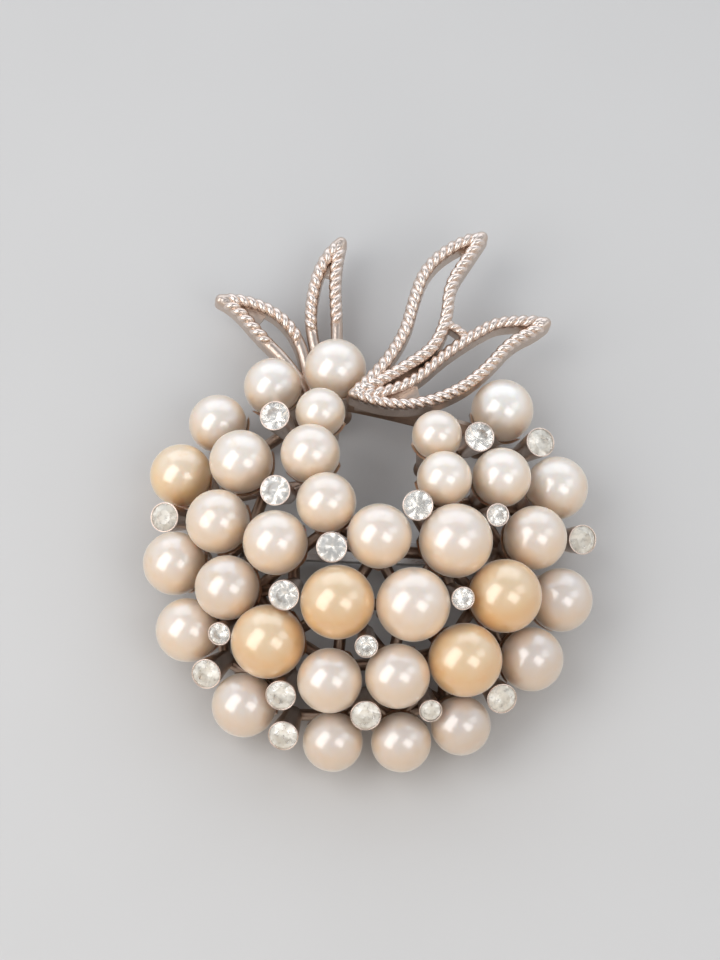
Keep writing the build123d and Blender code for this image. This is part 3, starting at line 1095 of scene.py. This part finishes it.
@dataclass
class BezelLips:
    """Thin rounded lips round the mouths of the tube settings."""

    rise: float = 0.10 * MM
    reach: float = 0.19 * MM
    thickness: float = 0.06 * MM
    around: int = 48
    section: int = 10

    def lip(self, radius: float) -> bmesh.types.BMesh:
        """Make one ring round the origin.

        Args:
            radius: The ring's radius.

        Returns:
            The ring.
        """
        ring = bmesh.new()
        upright = Matrix.Translation((radius, 0, 0)) @ Matrix.Rotation(math.pi / 2, 4, "X")
        bmesh.ops.create_circle(ring, segments=self.section, radius=self.thickness, matrix=upright)
        bmesh.ops.spin(ring, geom=ring.verts[:] + ring.edges[:], cent=(0, 0, 0), axis=(0, 0, 1),
                       angle=math.tau, steps=self.around, use_merge=True)
        bmesh.ops.recalc_face_normals(ring, faces=ring.faces)
        return ring

    def build(self) -> bpy.types.Object:
        """Make the lips of all the settings as one piece.

        Returns:
            The piece.
        """
        whole = bmesh.new()
        for seat in stone_seats("rhinestones"):
            ring = self.lip(seat.width / 2 + self.reach)
            place = Matrix.Translation(seat.centre + seat.axis * self.rise) @ facing(seat.axis)
            bmesh.ops.transform(ring, matrix=place, verts=ring.verts)
            mesh = to_mesh("lip", ring, smooth=True)
            whole.from_mesh(mesh)
            bpy.data.meshes.remove(mesh)
        mesh = to_mesh("bezel_lips", whole, smooth=True)
        material = BrightSilvering("lip_silvering").material()
        return settle_piece("bezel_lips", mesh, material, Slot.METAL)


@dataclass
class CastFrame:
    """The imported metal: the soldered frame and the bar pin, which keep their shapes."""

    casting: SilveredCasting = SilveredCasting("silvered_casting")
    steel: SatinSteel = SatinSteel("satin_steel")

    def dress(self) -> list[bpy.types.Object]:
        """Give the two nodes their finishes.

        Returns:
            The dressed nodes.
        """
        finishes = {"frame": self.casting.material(), "bar_pin": self.steel.material()}
        for name, material in finishes.items():
            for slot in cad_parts[name].material_slots:
                slot.material = material
        return [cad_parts[name] for name in finishes]


@dataclass
class SoftBox:
    """An area light that faces the wreath, with a brightness that its size doesn't change."""

    name: str
    toward: Vector
    distance: float
    size: Span
    brightness: float
    colour: Colour
    turn: float = 0.0
    mirrored: bool = True

    def place(self, target: Vector) -> None:
        """Hang the light and turn it to the wreath.

        Args:
            target: The point that it faces.
        """
        lamp = bpy.data.lights.new(self.name, "AREA")
        lamp.shape = "RECTANGLE"
        lamp.size, lamp.size_y = self.size
        lamp.energy = self.brightness * math.pi * self.size[0] * self.size[1]
        lamp.color = self.colour
        holder = bpy.data.objects.new(self.name, lamp)
        spot = target + self.toward.normalized() * self.distance
        holder.matrix_world = (Matrix.Translation(spot) @ facing(spot - target)
                               @ Matrix.Rotation(self.turn, 4, "Z"))
        holder.visible_camera = False
        holder.visible_glossy = self.mirrored
        bpy.context.scene.collection.objects.link(holder)


@dataclass
class Studio:
    """Pale floor, soft boxes, sky and camera."""

    floor_half: float = 0.8
    target: Vector = field(default_factory=lambda: Vector((0, -6, 12)) * MM)
    # The sky's colours, and the directions between which they change
    zenith: Colour = (0.42, 0.44, 0.47)
    back_low: Colour = (0.76, 0.84, 0.94)
    front_low: Colour = (0.62, 0.56, 0.50)
    front_to_back: Span = (-0.6, 0.6)
    low_to_zenith: Span = (0.25, 0.85)
    eye: Vector = field(default_factory=lambda: Vector((-0.19, -130.62, 344.64)) * MM)
    tilt: float = math.radians(20.0)
    focal_length: float = 163.6
    sensor_width: float = 36.0
    shift: Span = (-0.01167, 0.1057)
    nearest: float = 0.01

    def lights(self) -> list[SoftBox]:
        """List the soft boxes.

        Returns:
            Three window panes, the farthest one faint and cool, a cool wall behind, and a warm
            fill in front that nothing mirrors.
        """
        return [
            SoftBox("window_left", Vector((-0.65, -0.14, 0.77)), distance=0.30,
                    size=(0.20, 0.35), turn=0.6, brightness=2.0, colour=(0.98, 0.99, 1.0)),
            SoftBox("window_right", Vector((0.45, -0.40, 0.81)), distance=0.30,
                    size=(0.14, 0.18), turn=0.2, brightness=1.8, colour=(0.94, 0.97, 1.0)),
            SoftBox("window_far", Vector((0.75, 0.06, 0.66)), distance=0.32,
                    size=(0.12, 0.16), turn=0.4, brightness=1.0, colour=(0.84, 0.93, 1.0)),
            SoftBox("back_wall", Vector((0.0, 0.9, 0.52)), distance=0.40,
                    size=(0.60, 0.32), brightness=0.75, colour=(0.88, 0.93, 1.0)),
            SoftBox("front_fill", Vector((0.05, -0.85, 0.50)), distance=0.45,
                    size=(0.60, 0.30), brightness=0.7, colour=(1.0, 0.91, 0.80),
                    mirrored=False),
        ]

    def floor(self) -> None:
        """Lay the pale floor."""
        shape = bmesh.new()
        bmesh.ops.create_grid(shape, x_segments=1, y_segments=1, size=self.floor_half)
        floor = bpy.data.objects.new("ground", to_mesh("ground", shape, smooth=False))
        bpy.context.scene.collection.objects.link(floor)
        floor.data.materials.append(Plaster("pale_ground").material())

    def sky(self) -> None:
        """Set a soft sky: bright low down, warm in front, cool behind, dim overhead."""
        graph = Graph(bpy.data.worlds.new("soft_sky"))
        way = graph.node("ShaderNodeTexCoord", output="Generated")
        low = graph.mix(self.front_low, self.back_low,
                        graph.ramp(graph.part(way, "Y"), *self.front_to_back))
        colour = graph.mix(low, self.zenith,
                           graph.ramp(graph.part(way, "Z"), *self.low_to_zenith))
        background = graph.node("ShaderNodeBackground", {}, {"Color": colour})
        bpy.context.scene.world = graph.finish(background, "ShaderNodeOutputWorld")

    def camera(self) -> None:
        """Set the camera 70 degrees above the floor, on the side of the wreath's lower end."""
        lens = bpy.data.cameras.new("camera")
        lens.sensor_fit = "HORIZONTAL"
        lens.sensor_width = self.sensor_width
        lens.lens = self.focal_length
        lens.shift_x, lens.shift_y = self.shift
        lens.clip_start = self.nearest
        holder = bpy.data.objects.new("camera", lens)
        holder.location = self.eye
        holder.rotation_euler = (self.tilt, 0.0, 0.0)
        bpy.context.scene.collection.objects.link(holder)
        bpy.context.scene.camera = holder

    def build(self) -> None:
        """Lay the floor, light the scene and set up the camera."""
        self.floor()
        for light in self.lights():
            light.place(self.target)
        self.sky()
        bpy.context.scene.view_settings.view_transform = "Standard"
        self.camera()


def main() -> None:
    """Build the brooch's looks in order."""
    logging.basicConfig(level=logging.INFO, format="%(name)s: %(message)s")
    for node in CastFrame().dress():
        log.info("dressed %s", node.name)
    for piece in (*PearlSet().build(), StoneSet().build(), BezelLips().build(),
                  LeafRopes().build()):
        log.info("made %s with %d faces", piece.name, len(piece.data.polygons))
    Studio().build()


if __name__ == "__main__":
    main()
